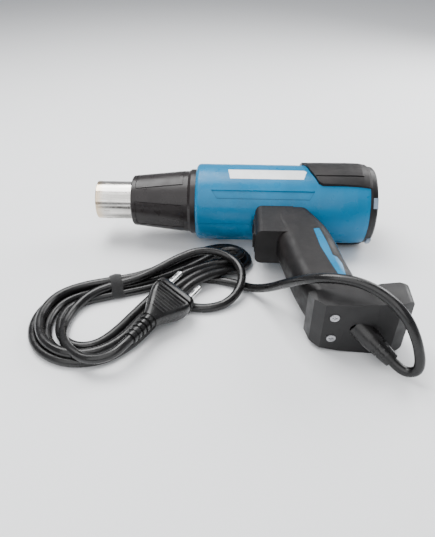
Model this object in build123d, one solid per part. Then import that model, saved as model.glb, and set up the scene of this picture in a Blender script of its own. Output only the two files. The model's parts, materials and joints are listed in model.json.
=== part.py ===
from build123d import *
import math
import os

# Heat gun with a two-stage rocker, lying on its right side. All sizes are in millimetres.
# The gun is drawn upright in its own frame: the barrel's axis is X with the nozzle towards -X,
# the handle points to -Y, and Z is the barrel's left side. lay_down() then rolls it on to the floor.

# Barrel
REAR_X = 119.7
NOZZLE_X = -126.0
BODY_FRONT_X = -36.0
BODY_LIP_ROUND = 4.0
PARTING_DEPTH = 0.4
PARTING_HALF = 0.25
BODY_REAR_X = 113.0
BODY_R = 34.0
BULGE_R = 35.0
BODY_WALL = 2.6
BODY_IN_R = BODY_R - BODY_WALL
MOUTH_R = 29.6

# Nozzle and heater
NOZZLE_R = 17.0
NOZZLE_WALL = 0.8
NOZZLE_IN_R = NOZZLE_R - NOZZLE_WALL
NOZZLE_SHOULDER_X = -93.0
NOZZLE_BACK_R = 16.8
NOZZLE_BACK_X = -20.0
GUARD_FRONT_X = -93.5
GUARD_FRONT_R = 22.5
GUARD_REAR_R = 27.0
GUARD_COLLAR_R = 29.0
GUARD_WALL = 2.2
MICA_R = 15.6
CORE_R = 14.2
CORE_FRONT_X = -112.0
CORE_BACK_X = -34.0
COIL_COUNT = 6

# Fan and motor
DUCT_R = 30.8
DUCT_WALL = 1.8
MOTOR_R = 17.5
MOTOR_FRONT_X = 34.0
MOTOR_BACK_X = 76.0
SHAFT_R = 1.6
FAN_R = 27.0
FAN_FRONT_X = 82.0
FAN_BACK_X = 96.0
BLADE_COUNT = 9

# Handle
GRIP_SKIN = 2.2
HANDLE_WALL = 2.4
HANDLE_END_Y = -146.0
BLOCK_FRONT_X = 16.0
BLOCK_BOTTOM_Y = -66.0
BLOCK_HALF_Z = 16.5
BLOCK_ROUND = 5.6
FOOT_HALF_Z = 24.0
FOOT_ROUND = 5.0
# Each row is a level of the handle: Y, front X, rear X, half width, corner radius.
HANDLE_LEVELS = [
    (-15.0, 24.0, 62.0, 15.5, 9.0),
    (-40.0, 27.0, 68.5, 16.5, 10.0),
    (-56.0, 31.0, 76.0, 17.0, 11.0),
    (-80.0, 37.0, 81.5, 17.0, 11.0),
    (-106.0, 42.5, 86.5, 17.0, 11.0),
    (-130.0, 50.5, 92.0, 17.5, 10.0),
    (HANDLE_END_Y, 56.0, 97.0, 18.5, 9.0),
]

# Rocker switch
PIVOT_X = 25.0
PIVOT_Y = -47.0
ROCKER_HALF_Z = 6.6
ROCKER_HALF_Y = 11.0
WINDOW_FRONT_X = 13.0
WINDOW_HALF_Z = 9.0
WINDOW_HALF_Y = 14.0
PIN_R = 1.25
RUN_GAP = 0.05

# Cord and plug
CORD_R = 3.5
PIN_SPACING = 19.0
PLUG_PIN_R = 2.4
PLUG_PIN_LENGTH = 19.0
PIN_ROOT_R = 2.0
PIN_ROOT_LENGTH = 10.0

# Screws
SCREW_R = 1.7
HEAD_R = 3.2
HEAD_HEIGHT = 2.2

# The gun rests on its barrel and on the heel of its foot, so it leans by this angle about X.
COVER_R = 36.8
HEEL_Y = -154.0
LEAN = math.degrees(
    math.asin(COVER_R / math.hypot(HEEL_Y, FOOT_HALF_Z)) - math.atan2(FOOT_HALF_Z, -HEEL_Y)
)


def pipe_x(x0, x1, r_out, r_in=0.0, y=0.0, z=0.0):
    """A rod or a tube along X."""
    solid = Cylinder(r_out, x1 - x0)
    if r_in > 0:
        solid -= Cylinder(r_in, x1 - x0)
    return Pos((x0 + x1) / 2, y, z) * Rot(0, 90, 0) * solid


def turned(points):
    """A solid turned about X from (x, radius) points."""
    return revolve(make_face(Polyline(*points, close=True)), Axis.X, 360)


def prism_z(points, z0, z1):
    """A side outline in X and Y, thick from z0 to z1."""
    return Pos(0, 0, z0) * extrude(make_face(Polyline(*points, close=True)), z1 - z0)


def box(x0, x1, y0, y1, z0, z1):
    """A block from its corners."""
    return Pos((x0 + x1) / 2, (y0 + y1) / 2, (z0 + z1) / 2) * Box(x1 - x0, y1 - y0, z1 - z0)


def handle_loft(inset):
    """The handle's form, pulled in by an inset on every side."""
    sections = []
    for y, front, rear, half, corner in HANDLE_LEVELS:
        level = Plane(origin=((front + rear) / 2, y, 0), x_dir=(1, 0, 0), z_dir=(0, -1, 0))
        sections.append(
            level * RectangleRounded(rear - front - 2 * inset, 2 * (half - inset), corner - inset)
        )
    return loft(sections)


def switch_block(inset):
    """The raised block below the barrel that holds the switch, pulled in by an inset."""
    block = box(
        BLOCK_FRONT_X + inset, 48, BLOCK_BOTTOM_Y + inset, -15,
        inset - BLOCK_HALF_Z, BLOCK_HALF_Z - inset,
    )
    front_edges = block.faces().sort_by(Axis.X)[0].edges().filter_by(Axis.Y)
    return fillet(front_edges, BLOCK_ROUND - inset)


def upper_handle(inset):
    """Handle and switch block together."""
    return handle_loft(inset) + switch_block(inset)


BARREL_SOLID = pipe_x(-30, BODY_REAR_X, BODY_R)
HANDLE_OUTER = upper_handle(0)
HANDLE_CORE = upper_handle(GRIP_SKIN)
HANDLE_HOLLOW = upper_handle(GRIP_SKIN + HANDLE_WALL)
SWITCH_WINDOW = box(
    WINDOW_FRONT_X, PIVOT_X + 8, PIVOT_Y - WINDOW_HALF_Y, PIVOT_Y + WINDOW_HALF_Y, -WINDOW_HALF_Z, WINDOW_HALF_Z
)

# Teal stripe in the handle's flank: narrow at the top, with a step, wider towards the foot.
STRIPE_OUTLINE = [
    (62.0, -62.0), (65.0, -84.0), (71.0, -106.0), (75.5, -121.0), (79.5, -117.0),
    (79.0, -104.0), (76.0, -97.0), (73.0, -95.0), (70.5, -79.0), (66.5, -61.0),
]
# Thin teal spine along the handle's back.
SPINE_OUTLINE = [
    (68.0, -30.0), (72.5, -50.5), (79.5, -82.0), (84.0, -106.0), (89.5, -130.0), (93.0, -146.0),
    (105.0, -146.0), (105.0, -30.0),
]
# The rear strap of the grip lies behind this line.
STRAP_OUTLINE = [
    (62.0, -20.0), (64.2, -61.0), (68.0, -80.0), (72.0, -101.0), (78.0, -124.0), (84.0, -147.0),
    (110.0, -147.0), (110.0, -20.0),
]


def half(shape, side):
    """The left half (side 1) or the right half (side -1) of a shape."""
    return shape & box(-200, 200, -200, 200, min(0, side * 90), max(0, side * 90))


def barrel_shell():
    """The teal barrel, turned, with a rounded front lip and a slight bulge at the rear."""
    outer = turned([
        (BODY_FRONT_X, 0), (BODY_FRONT_X, BODY_R), (68, BODY_R), (78, 34.5), (90, BULGE_R), (102, BULGE_R), (110, 34.6), (BODY_REAR_X, 34.2),
        (BODY_REAR_X, 0),
    ])
    front_edge = outer.edges().filter_by(GeomType.CIRCLE).sort_by(Axis.X)[0]
    outer = fillet(front_edge, BODY_LIP_ROUND)
    inner = pipe_x(BODY_FRONT_X + 3, BODY_REAR_X + 1, BODY_IN_R)
    mouth = pipe_x(BODY_FRONT_X - 1, BODY_FRONT_X + 4, MOUTH_R)
    return outer, inner + mouth


def parting_groove():
    """Fine line where the two halves meet, above and below the barrel, clear of the handle."""
    ring = pipe_x(BODY_FRONT_X - 1, 68, 40, BODY_R - PARTING_DEPTH)
    above = box(BODY_FRONT_X - 1, 56, 0, 40, -PARTING_HALF, PARTING_HALF)
    below = box(BODY_FRONT_X - 1, WINDOW_FRONT_X - 1, -40, 0, -PARTING_HALF, PARTING_HALF)
    return ring & (above + below)


def side_groove():
    """Long shallow recess with slanted ends, on both flanks of the barrel."""
    outline = [(-22.0, -21.6), (66.0, -21.6), (62.0, -26.6), (-17.0, -26.6)]
    tool = prism_z(outline, -40, 40)
    return tool - pipe_x(-40, 80, BODY_R - 0.9)


def bumper_region():
    """Side outline of the black cover over the top of the rear section."""
    outline = [(56.0, 40.0), (58.0, 18.0), (63.0, -3.0), (69.5, -16.0), (73.0, -17.8),
               (90.0, -18.4), (104.0, -18.9), (111.0, -19.2), (130.0, -19.2), (130.0, 40.0)]
    return prism_z(outline, -45, 45)


def housing():
    """Both halves of the teal housing as one hollow form, before it is split."""
    outer, inner = barrel_shell()
    stripes = HANDLE_OUTER & (prism_z(STRIPE_OUTLINE, -30, 30) + prism_z(SPINE_OUTLINE, -30, 30))
    body = outer + HANDLE_CORE + (stripes - BARREL_SOLID)
    body -= inner
    body -= HANDLE_HOLLOW
    body -= SWITCH_WINDOW
    body -= side_groove()
    body -= parting_groove()
    body -= bumper_region() & (pipe_x(50, 130, 40) - pipe_x(50, 130, BODY_R - 0.4))
    for x, y in SCREW_PLACES:
        body += screw_boss(x, y)
    for x, y in SCREW_PLACES:
        body -= screw_hole(x, y)
    return body


# Screws that hold the halves together, entered from the right side.
SCREW_PLACES = [(50.0, -78.0), (61.0, -118.0)]
BOSS_R = 3.6


def screw_boss(x, y):
    """A post across the handle around a screw."""
    return Pos(x, y, 0) * Cylinder(BOSS_R, 2 * (16.9 - GRIP_SKIN))


def screw_hole(x, y):
    """Clearance for one screw, its head and the driver."""
    shank = Pos(x, y, 0) * Cylinder(SCREW_R, 24)
    recess = Pos(x, y, -20) * Cylinder(HEAD_R + 0.3, 20)
    return shank + recess


def housing_screw(x, y):
    """One pan-head screw with a cross recess."""
    shank = Pos(x, y, 1) * Cylinder(SCREW_R - 0.02, 22)
    head = Pos(x, y, -10 - HEAD_HEIGHT / 2) * Cylinder(HEAD_R, HEAD_HEIGHT)
    slots = Pos(x, y, -10 - HEAD_HEIGHT) * (Box(3.6, 0.7, 1.4) + Box(0.7, 3.6, 1.4))
    return shank + head - slots


def grip_skin():
    """Black overmould on the handle and switch block, open where the housing shows."""
    skin = HANDLE_OUTER - HANDLE_CORE - BARREL_SOLID
    skin -= prism_z(STRIPE_OUTLINE, -30, 30)
    skin -= prism_z(SPINE_OUTLINE, -30, 30)
    skin -= SWITCH_WINDOW
    skin -= box(-10, 130, HANDLE_END_Y - 5, HANDLE_END_Y + 8, -30, 30)
    for x, y in SCREW_PLACES:
        skin -= Pos(x, y, -20) * Cylinder(HEAD_R + 0.3, 20)
    return skin


def foot():
    """Black foot with a heel that ends in the plane of the rear cap."""
    side = prism_z([
        (51.0, -138.0), (54.0, -147.0), (61.0, -153.5), (75.0, -155.0), (96.0, -155.0),
        (111.0, HEEL_Y), (REAR_X, -150.0), (REAR_X, -134.5), (113.0, -132.0), (100.0, -134.0),
        (90.0, -138.0),
    ], -FOOT_HALF_Z, FOOT_HALF_Z)
    plan_level = Plane(origin=(0, -170, 0), x_dir=(1, 0, 0), z_dir=(0, -1, 0))
    plan = make_face(Polyline(
        (48, -17), (56, -20.5), (80, -22.5), (100, -FOOT_HALF_Z), (REAR_X, -FOOT_HALF_Z),
        (REAR_X, FOOT_HALF_Z), (100, FOOT_HALF_Z), (80, 22.5), (56, 20.5), (48, 17), close=True,
    ))
    form = side & extrude(plan_level * plan, -60)
    form = fillet(form.edges().filter_by_position(Axis.X, REAR_X - 0.1, REAR_X + 0.1)
                  .filter_by(Axis.Y), FOOT_ROUND - 1)
    form -= handle_loft(0) & box(0, 130, HANDLE_END_Y, 0, -40, 40)
    form -= sleeve_tool()
    form -= foot_screw_holes()
    return form


SLEEVE_ROOT = Vector(85.0, -150.0, 0.0)
SLEEVE_DIRECTION = Vector(0.68, -0.62, -0.394).normalized()
SLEEVE_LENGTH = 33.0
SLEEVE_SEAT = 13.0
SLEEVE_ROOT_R = 7.5
SLEEVE_TIP_R = 5.2


def sleeve_plane(distance=0.0):
    """A plane square to the sleeve, some way along it."""
    return Plane(origin=SLEEVE_ROOT + SLEEVE_DIRECTION * distance, z_dir=SLEEVE_DIRECTION)


def sleeve_tool():
    """The seat for the sleeve in the foot."""
    return extrude(sleeve_plane(-4) * Circle(SLEEVE_ROOT_R + 0.02), 40)


def strain_relief():
    """Tapered rubber sleeve with a collar inside the foot and shallow rings near its tip."""
    seated = extrude(sleeve_plane(0) * Circle(SLEEVE_ROOT_R), SLEEVE_SEAT)
    taper = loft([
        sleeve_plane(SLEEVE_SEAT) * Circle(SLEEVE_ROOT_R),
        sleeve_plane(SLEEVE_LENGTH) * Circle(SLEEVE_TIP_R),
    ])
    sleeve = seated + taper
    for step in range(3):
        at = SLEEVE_SEAT + 6 + 4 * step
        sleeve -= extrude(sleeve_plane(at) * (Circle(9) - Circle(SLEEVE_TIP_R + 0.6)), 1.4)
    return sleeve


FOOT_SCREW_PLACES = [(68.0, -10.0), (68.0, 10.0)]


def foot_screw_holes():
    """Two countersunk holes in the foot's underside."""
    holes = Part()
    for x, z in FOOT_SCREW_PLACES:
        holes += Pos(x, -156, z) * Rot(90, 0, 0) * Cylinder(HEAD_R + 0.2, 7)
    return holes


def foot_screws():
    """Two screws that hold the foot to the handle."""
    screws = []
    for x, z in FOOT_SCREW_PLACES:
        head = Pos(x, -152.5 - HEAD_HEIGHT / 2, z) * Rot(90, 0, 0) * Cylinder(HEAD_R, HEAD_HEIGHT)
        slots = Pos(x, -152.5 - HEAD_HEIGHT, z) * (Box(3.6, 1.4, 0.7) + Box(0.7, 1.4, 3.6))
        screws.append(head - slots)
    return Compound(children=[s.solid() for s in screws])


def rear_bumper():
    """Black cover over the top and rear of the barrel, with a step line along each flank."""
    outer = turned([
        (54, 0), (54, 35.2), (56, 36.4), (96, COVER_R), (107, 36.6), (112.5, 35.6), (115, 34.2),
        (115, 0),
    ])
    seat = pipe_x(50, BODY_REAR_X, BODY_R - 0.4)
    cover = (outer & bumper_region()) - seat - pipe_x(50, 130, 31.0)
    line = box(67, 108, -11.0, -9.6, -50, 50) - pipe_x(50, 130, 35.9)
    return cover - line


def rear_rim():
    """Black ring that closes the rear of the barrel and stands on the bench."""
    ring = turned([
        (BODY_REAR_X, 27.5), (BODY_REAR_X, 34.2), (115, 34.2), (118.2, 33.6), (REAR_X, 32.4),
        (REAR_X, 27.5),
    ])
    ring -= turned([(BODY_REAR_X - 1, 30.9), (BODY_REAR_X - 1, 34.3), (115, 34.3), (115, 30.9)]) & bumper_region()
    for angle in RIM_SCREW_ANGLES:
        y, z = ring_place(angle, 30.6)
        ring -= pipe_x(117.8, 121, 1.6, y=y, z=z)
    return ring


RIM_SCREW_ANGLES = (45, 135, 225, 315)
LATCH_ANGLES = (145, 215)
LATCH_HALF = 4.5
LATCH_TOP = 35.4


def ring_place(angle, radius):
    """Y and Z on a circle about the barrel's axis."""
    return radius * math.cos(math.radians(angle)), radius * math.sin(math.radians(angle))


def rim_screws():
    """Four small screws in the rear rim."""
    screws = []
    for angle in RIM_SCREW_ANGLES:
        y, z = ring_place(angle, 30.6)
        screw = pipe_x(117.8, 119.2, 1.58, y=y, z=z)
        slot = Pos(119.2, y, z) * (Box(0.8, 2.2, 0.5) + Box(0.8, 0.5, 2.2))
        screws.append((screw - slot).solid())
    return Compound(children=screws)


def rear_latch():
    """Two small tabs on the rear rim, low on the left and low on the right."""
    rim = turned([(114, 0), (114, 34.22), (115, 34.22), (118.2, 33.62), (REAR_X, 32.42), (REAR_X, 0)])
    tab = box(115.4, REAR_X - 0.6, -LATCH_HALF, LATCH_HALF, 32.6, LATCH_TOP) - rim
    return Compound(children=[Rot(angle - 90, 0, 0) * tab.solid() for angle in LATCH_ANGLES])


def intake_grille():
    """Round grille of concentric rings and spokes at the rear."""
    disc = pipe_x(REAR_X - 3.4, REAR_X - 1.2, 27.45, 25.2)
    for radius in (20.5, 15.0, 9.5):
        disc += pipe_x(REAR_X - 3.0, REAR_X - 1.2, radius + 0.9, radius - 0.9)
    disc += pipe_x(REAR_X - 3.0, REAR_X - 1.2, 4.6)
    for angle in range(0, 180, 30):
        spoke = Rot(angle, 0, 0) * Pos(REAR_X - 2.1, 0, 0) * Box(1.8, 52, 1.8)
        disc += spoke
    return disc


def intake_filter():
    """Dust mesh behind the grille, a thin flat disc."""
    return pipe_x(REAR_X - 4.6, REAR_X - 3.6, 27.3)


def nozzle_tube():
    """Steel outlet tube with a rolled lip and a ring of dimples behind it."""
    tube = turned([
        (NOZZLE_X + 1.2, NOZZLE_IN_R), (NOZZLE_X, NOZZLE_R - 0.5), (NOZZLE_X, NOZZLE_R - 0.1),
        (NOZZLE_X + 0.4, NOZZLE_R), (NOZZLE_SHOULDER_X, NOZZLE_R),
        (NOZZLE_SHOULDER_X, NOZZLE_BACK_R), (NOZZLE_BACK_X, NOZZLE_BACK_R),
        (NOZZLE_BACK_X, NOZZLE_IN_R),
    ])
    for step in range(DIMPLE_COUNT):
        dimple = Pos(DIMPLE_X, 0, NOZZLE_R + 0.35) * Box(5.0, 2.2, 1.6)
        tube -= Rot(step * 360 / DIMPLE_COUNT, 0, 0) * dimple
    return tube


DIMPLE_X = -116.0
DIMPLE_COUNT = 8


def heat_guard():
    """Black sleeve around the nozzle, wider towards its flared collar, with long side panels."""
    outer = turned([
        (GUARD_FRONT_X, 0), (GUARD_FRONT_X, GUARD_FRONT_R - 0.9),
        (GUARD_FRONT_X + 0.9, GUARD_FRONT_R), (-50, GUARD_REAR_R), (-43, GUARD_REAR_R + 0.3),
        (-40.5, GUARD_COLLAR_R), (BODY_FRONT_X + 1, GUARD_COLLAR_R), (BODY_FRONT_X + 1, 0),
    ])
    inner = turned([
        (GUARD_FRONT_X + 3, 0), (GUARD_FRONT_X + 3, GUARD_FRONT_R - GUARD_WALL),
        (-50, GUARD_REAR_R - GUARD_WALL), (BODY_FRONT_X + 2, GUARD_REAR_R - GUARD_WALL),
        (BODY_FRONT_X + 2, 0),
    ])
    sleeve = outer - inner - pipe_x(GUARD_FRONT_X - 1, GUARD_FRONT_X + 4, NOZZLE_R + 0.8)
    for step in range(GUARD_SLOTS):
        slot = Pos(GUARD_FRONT_X + 1.5, 0, NOZZLE_R + 1.9) * Box(6, 5.5, 1.8)
        sleeve -= Rot(step * 360 / GUARD_SLOTS + 15, 0, 0) * slot
    return sleeve - guard_panel_lines()


GUARD_SLOTS = 12
PANEL_FRONT_X = GUARD_FRONT_X + 4.0
PANEL_REAR_X = -46.5
PANEL_ANGLES = (45, 135, 225, 315)
LINE_DEPTH = 0.7


def guard_radius(x):
    """The guard's outer radius on its cone."""
    return GUARD_FRONT_R + (GUARD_REAR_R - GUARD_FRONT_R) * (x - GUARD_FRONT_X) / (-50 - GUARD_FRONT_X)


def guard_panel_lines():
    """Engraved outline of each long panel on the guard."""
    lines = Part()
    middle = (PANEL_FRONT_X + PANEL_REAR_X) / 2
    length = PANEL_REAR_X - PANEL_FRONT_X
    frame = Box(length, 24, 30) - Box(length - 1.8, 22.2, 30)
    for angle in PANEL_ANGLES:
        lines += Rot(angle - 45, 0, 0) * Pos(middle, 0, 28) * frame
    keep = turned([
        (PANEL_FRONT_X - 1, guard_radius(PANEL_FRONT_X - 1) - LINE_DEPTH), (PANEL_FRONT_X - 1, 40),
        (PANEL_REAR_X + 1, 40), (PANEL_REAR_X + 1, guard_radius(PANEL_REAR_X + 1) - LINE_DEPTH),
    ])
    return lines & keep


def nozzle_flange():
    """Ceramic-filled ring that centres the nozzle tube in the barrel's mouth."""
    ring = pipe_x(-33, -27, 31.2, NOZZLE_BACK_R + 0.02)
    for step in range(8):
        hole_y, hole_z = ring_place(step * 45 + 22.5, 24.5)
        ring -= pipe_x(-34, -26, 4.0, y=hole_y, z=hole_z)
    return ring


def mica_sleeve():
    """Thin insulating tube inside the nozzle tube."""
    return pipe_x(CORE_FRONT_X - 2, CORE_BACK_X + 4, MICA_R, MICA_R - 0.7)


def heater_core():
    """Ceramic core with six long channels for the coils and one through the middle."""
    core = pipe_x(CORE_FRONT_X, CORE_BACK_X, CORE_R, 2.0)
    for step in range(COIL_COUNT):
        y, z = ring_place(step * 360 / COIL_COUNT, 9.0)
        core -= pipe_x(CORE_FRONT_X - 1, CORE_BACK_X + 1, 3.3, y=y, z=z)
    return core


def heating_coils():
    """Six coils of resistance wire, each drawn as the hollow form of its winding."""
    coils = []
    for step in range(COIL_COUNT):
        y, z = ring_place(step * 360 / COIL_COUNT, 9.0)
        coils.append(pipe_x(CORE_FRONT_X + 1, CORE_BACK_X - 1, 2.9, 2.2, y=y, z=z).solid())
    return Compound(children=coils)


def heater_end_plate():
    """Mica plate behind the core, with air holes and the lead terminals' slots."""
    plate = pipe_x(CORE_BACK_X + 0.2, CORE_BACK_X + 1.4, 14.6)
    for step in range(COIL_COUNT):
        y, z = ring_place(step * 360 / COIL_COUNT, 9.0)
        plate -= pipe_x(CORE_BACK_X - 1, CORE_BACK_X + 3, 2.6, y=y, z=z)
    return plate


def heater_terminals():
    """Three brass tabs behind the heater."""
    tabs = []
    for y in (-4.0, 0.0, 4.0):
        tabs.append(box(CORE_BACK_X + 1.4, CORE_BACK_X + 11, y - 1.2, y + 1.2, -0.4, 0.4).solid())
    return Compound(children=tabs)


def thermal_cutout():
    """Cylindrical thermal cut-out beside the terminals."""
    return pipe_x(-30, -20, 2.4, y=-9.5)


def air_duct():
    """Inner duct from the fan to the heater, with a cone that narrows to the nozzle tube."""
    duct = turned([
        (100, DUCT_R), (6, DUCT_R), (-16, NOZZLE_R + 2.2), (-26.5, NOZZLE_R + 2.2),
        (-26.5, NOZZLE_BACK_R + 0.05), (-19.5, NOZZLE_BACK_R + 0.05), (-16, NOZZLE_BACK_R + 0.4),
        (6, DUCT_R - DUCT_WALL), (100, DUCT_R - DUCT_WALL),
    ])
    for angle in (0, 120, 240):
        arm = box(MOTOR_FRONT_X + 4, MOTOR_FRONT_X + 16, MOTOR_R + 1.5, DUCT_R - 1, -1.2, 1.2)
        duct += Rot(angle + 30, 0, 0) * arm
    return duct + pipe_x(MOTOR_FRONT_X + 4, MOTOR_FRONT_X + 16, MOTOR_R + 3.2, MOTOR_R + 1.5)


def motor_mount():
    """Rubber ring between the motor and the duct's cradle."""
    return pipe_x(MOTOR_FRONT_X + 3, MOTOR_FRONT_X + 17, MOTOR_R + 1.48, MOTOR_R + 0.02)


def motor_can():
    """Steel can of the motor, closed at the rear with a bearing seat."""
    can = pipe_x(MOTOR_FRONT_X, MOTOR_BACK_X, MOTOR_R)
    can -= pipe_x(MOTOR_FRONT_X - 1, MOTOR_BACK_X - 1.2, MOTOR_R - 1.2)
    return can - pipe_x(MOTOR_BACK_X - 3, MOTOR_BACK_X + 1, 3.0)


def motor_end_bell():
    """Plastic end of the motor that holds the brushes and the front bearing."""
    bell = pipe_x(MOTOR_FRONT_X + 0.2, MOTOR_FRONT_X + 3.2, MOTOR_R - 1.25)
    return bell - pipe_x(MOTOR_FRONT_X - 1, MOTOR_FRONT_X + 5, 3.0)


def motor_bearings():
    """Two bronze bushes for the shaft."""
    front = pipe_x(MOTOR_FRONT_X + 0.2, MOTOR_FRONT_X + 4.2, 2.98, SHAFT_R + RUN_GAP)
    rear = pipe_x(MOTOR_BACK_X - 3.4, MOTOR_BACK_X + 0.6, 2.98, SHAFT_R + RUN_GAP)
    return Compound(children=[front.solid(), rear.solid()])


def motor_magnets():
    """Two curved magnets against the can."""
    ring = pipe_x(MOTOR_FRONT_X + 10, MOTOR_BACK_X - 6, MOTOR_R - 1.3, MOTOR_R - 4.2)
    gap = box(0, 100, -20, 20, -3.2, 3.2)
    return Compound(children=[s for s in (ring - gap).solids()])


def motor_brushes():
    """Two carbon brushes that press on the commutator."""
    pair = []
    for side in (1, -1):
        pair.append(
            box(MOTOR_FRONT_X + 4.6, MOTOR_FRONT_X + 7.6, min(side * 4.9, side * 10),
                max(side * 4.9, side * 10), -1.6, 1.6).solid()
        )
    return Compound(children=pair)


def motor_shaft():
    """Steel shaft through the motor into the fan."""
    return pipe_x(MOTOR_FRONT_X + 1, FAN_BACK_X - 1, SHAFT_R)


def rotor():
    """Laminated rotor with three slots."""
    core = pipe_x(MOTOR_FRONT_X + 12, MOTOR_BACK_X - 8, MOTOR_R - 4.8, SHAFT_R)
    for step in range(3):
        slot = Pos((MOTOR_FRONT_X + MOTOR_BACK_X) / 2 + 2, 0, 10) * Box(40, 1.6, 9)
        core -= Rot(step * 120, 0, 0) * slot
    return core


def commutator():
    """Copper commutator behind the brushes."""
    return pipe_x(MOTOR_FRONT_X + 4.4, MOTOR_FRONT_X + 11.5, 4.5, SHAFT_R)


def fan_impeller():
    """Blower wheel: a hub, a back disc and forward blades."""
    wheel = pipe_x(FAN_FRONT_X, FAN_BACK_X, 6.5, SHAFT_R)
    wheel += pipe_x(FAN_FRONT_X, FAN_FRONT_X + 1.6, FAN_R, SHAFT_R)
    for step in range(BLADE_COUNT):
        blade = box(FAN_FRONT_X, FAN_BACK_X - 1, 5.5, FAN_R - 0.6, -0.7, 0.7)
        wheel += Rot(step * 360 / BLADE_COUNT, 0, 0) * (Pos(0, 0, 2.4) * blade)
    return wheel


def diode_board():
    """Round board in front of the motor that carries the rectifier."""
    return pipe_x(MOTOR_FRONT_X - 3.4, MOTOR_FRONT_X - 1.8, 16.0, 3.2)


def diodes():
    """Four rectifier diodes."""
    parts = []
    for y in (-9.0, -5.5, 5.5, 9.0):
        body = Pos(MOTOR_FRONT_X - 5.0, y, 0) * Cylinder(1.4, 5.2)
        parts.append(body.solid())
    return Compound(children=parts)


def capacitor():
    """Film capacitor on the board."""
    return box(MOTOR_FRONT_X - 10.4, MOTOR_FRONT_X - 3.4, -6, 6, 6.5, 12.5)


def switch_frame():
    """Black bezel that lines the switch window."""
    frame = box(BLOCK_FRONT_X - 0.6, PIVOT_X + 7, PIVOT_Y - WINDOW_HALF_Y + 0.03,
                PIVOT_Y + WINDOW_HALF_Y - 0.03, 0.03 - WINDOW_HALF_Z, WINDOW_HALF_Z - 0.03)
    hollow = box(BLOCK_FRONT_X - 2, PIVOT_X + 9, PIVOT_Y - ROCKER_HALF_Y - 2.1,
                 PIVOT_Y + ROCKER_HALF_Y + 2.1, -ROCKER_HALF_Z - 0.4, ROCKER_HALF_Z + 0.4)
    pin = Pos(PIVOT_X, PIVOT_Y, 0) * Cylinder(PIN_R, 30)
    return frame - hollow - pin


def rocker_pin():
    """Steel pivot pin held in the bezel."""
    return Pos(PIVOT_X, PIVOT_Y, 0) * Cylinder(PIN_R, 2 * WINDOW_HALF_Z - 0.4)


def switch_rocker():
    """Rocker with two sloping faces and a raised rib on each, seen from the front."""
    outline = [
        (21.0, -ROCKER_HALF_Y), (14.0, -ROCKER_HALF_Y + 0.4), (15.6, -1.0), (15.6, 1.0),
        (14.0, ROCKER_HALF_Y - 0.4), (21.0, ROCKER_HALF_Y), (26.5, 4.0), (29.0, 1.4),
        (29.0, -1.4), (26.5, -4.0),
    ]
    points = [(x, PIVOT_Y + y) for x, y in outline]
    body = prism_z(points, -ROCKER_HALF_Z, ROCKER_HALF_Z)
    for y in (-6.2, 6.2):
        body += Pos(14.6, PIVOT_Y + y, 0) * Box(1.2, 1.0, 8.0)
    bore = Pos(PIVOT_X, PIVOT_Y, 0) * Cylinder(PIN_R + RUN_GAP, 30)
    return body - bore


SWITCH_BACK_X = 50.0


def switch_body():
    """Closed switch behind the bezel, hollow for its tipping contact."""
    case = box(PIVOT_X + 7, SWITCH_BACK_X, PIVOT_Y - 11, PIVOT_Y + 11, -8.6, 8.6)
    case -= box(PIVOT_X + 6, SWITCH_BACK_X - 3, PIVOT_Y - 9, PIVOT_Y + 9, -7, 7)
    pivot = Pos(TIP_X, PIVOT_Y, 0) * Cylinder(1.0, 15)
    return case + pivot


TIP_X = 41.0


def switch_contact():
    """Brass bridge that tips on the pivot inside the switch."""
    bridge = box(TIP_X - 1.8, TIP_X + 1.8, PIVOT_Y - 1.8, PIVOT_Y + 1.8, -5, 5)
    bridge += box(TIP_X - 0.5, TIP_X + 0.5, PIVOT_Y - 7.4, PIVOT_Y + 7.4, -5, 5)
    return bridge - Pos(TIP_X, PIVOT_Y, 0) * Cylinder(1.0 + RUN_GAP, 30)


def switch_terminals():
    """Three blade terminals at the back of the switch."""
    tabs = []
    for y in (-7.0, 0.0, 7.0):
        tabs.append(box(SWITCH_BACK_X, SWITCH_BACK_X + 7, PIVOT_Y + y - 0.4, PIVOT_Y + y + 0.4,
                        -3, 3).solid())
    return Compound(children=tabs)


def cord_clamp():
    """Strap that grips the cord inside the handle's end."""
    return box(66, 86, -142.5, -138, -10.5, 10.5) - box(73, 81, -150, -130, -4, 4)


def clamp_screws():
    """Two screws for the cord clamp."""
    pair = []
    for z in (-8.0, 8.0):
        pair.append((Pos(77, -136.9, z) * Rot(90, 0, 0) * Cylinder(2.6, 2.2)).solid())
    return Compound(children=pair)


def inner_wire(z, top_x):
    """One insulated wire from the clamp up to the switch."""
    route = Polyline((77, -137, z), (73, -118, z), (66, -95, z), (top_x, -63, z))
    path = fillet(route.vertices().filter_by_position(Axis.Y, -130, -70), 12)
    return sweep(Plane(origin=path @ 0, z_dir=path % 0) * Circle(1.3), path=path)


def side_stripe(side):
    """Plain white printed band on one flank of the barrel."""
    band = pipe_x(-8, 62, BODY_R + 0.15, BODY_R)
    outline = [(-8.0, -1.0), (58.0, -1.0), (60.0, -3.0), (57.0, -12.0), (-6.0, -12.0)]
    return band & prism_z(outline, min(0, side * 45), max(0, side * 45))


# Cord, hank and plug, in the floor's frame: X as on the gun, Z up from the floor.
# The cord leaves the sleeve, turns back tightly, rises over the heel and the handle, comes down to
# the floor in front of the barrel and joins the hank.
CORD_ROUTE = [
    (117.0, -175.6, 6.0), (121.6, -177.6, 9.2), (122.6, -177.6, 15.5), (120.6, -176.0, 24.5),
    (116.5, -173.5, 36.0), (109.5, -168.5, 48.5), (98.0, -158.5, 57.0), (82.0, -148.0, 60.0),
    (64.0, -141.5, 58.0), (49.0, -131.5, 49.0), (38.0, -117.0, 34.0), (27.0, -101.0, 17.0),
    (14.0, -87.5, 5.2), (-1.5, -78.0, 3.6), (-20.0, -73.5, 3.8), (-38.0, -73.0, 3.6),
]
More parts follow.
